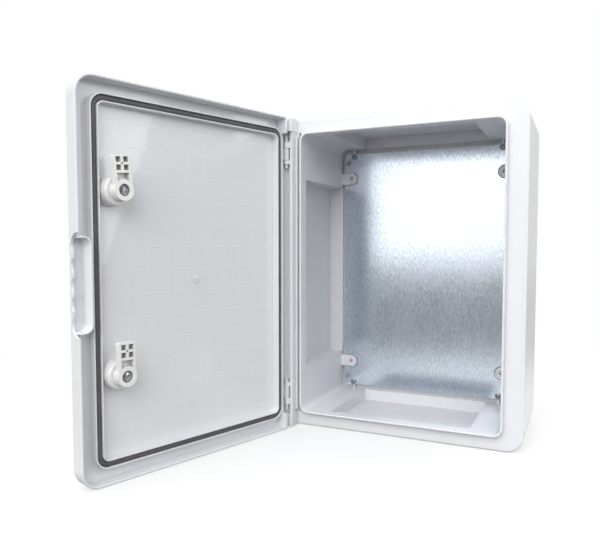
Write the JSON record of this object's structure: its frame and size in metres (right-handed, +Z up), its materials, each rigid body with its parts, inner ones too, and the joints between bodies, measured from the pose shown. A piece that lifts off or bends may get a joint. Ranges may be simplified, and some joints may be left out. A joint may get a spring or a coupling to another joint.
{
  "type": "junction box",
  "caption": "Wall-mounted plastic junction box with a side-hinged gasketed door, quarter-turn cam latches and a galvanised mounting plate inside.",
  "frame": {"origin": "centre of the case's back face, where it lies on the wall", "axes": "+X to the latch side of the closed door, +Y into the wall, +Z up"},
  "size_m": [0.3878, 0.4458, 0.4],
  "materials": {
    "case_plastic": "light grey moulded plastic, glossy",
    "latch_plastic": "off-white moulded plastic, satin",
    "gasket_rubber": "dark grey rubber",
    "galvanised_steel": "galvanised sheet with a fine spangle",
    "zinc_steel": "zinc-plated steel",
    "insert_brass": "plain brass"
  },
  "bodies": {
    "enclosure": {"base_shell": "case_plastic", "plate_inserts": "insert_brass", "mounting_plate": "galvanised_steel", "plate_screws": "zinc_steel", "hinge_pin_top": "case_plastic", "hinge_pin_bottom": "case_plastic"},
    "door": {"door_shell": "case_plastic", "door_gasket": "gasket_rubber", "latch_housing_top": "latch_plastic", "latch_seal_top": "gasket_rubber", "latch_collar_top": "latch_plastic", "latch_housing_bottom": "latch_plastic", "latch_seal_bottom": "gasket_rubber", "latch_collar_bottom": "latch_plastic"},
    "latch_top": {"latch_spindle_top": "latch_plastic", "latch_cam_top": "latch_plastic", "cam_washer_top": "zinc_steel", "cam_screw_top": "zinc_steel"},
    "latch_bottom": {"latch_spindle_bottom": "latch_plastic", "latch_cam_bottom": "latch_plastic", "cam_washer_bottom": "zinc_steel", "cam_screw_bottom": "zinc_steel"}
  },
  "joints": [
    {"name": "door_hinge", "type": "hinge", "parent": "enclosure", "child": "door", "pos_m": [-0.1435, -0.1626, 0], "axis": [0, 0, -1], "range_deg": [-107.5, 14.5]},
    {"name": "latch_top_turn", "type": "hinge", "parent": "door", "child": "latch_top", "pos_m": [-0.21853, -0.40055, 0.0915], "axis": [0.9537, -0.3007, 0], "range_deg": [-5, 85]},
    {"name": "latch_bottom_turn", "type": "hinge", "parent": "door", "child": "latch_bottom", "pos_m": [-0.21853, -0.40055, -0.0915], "axis": [0.9537, -0.3007, 0], "range_deg": [0, 90]}
  ]
}
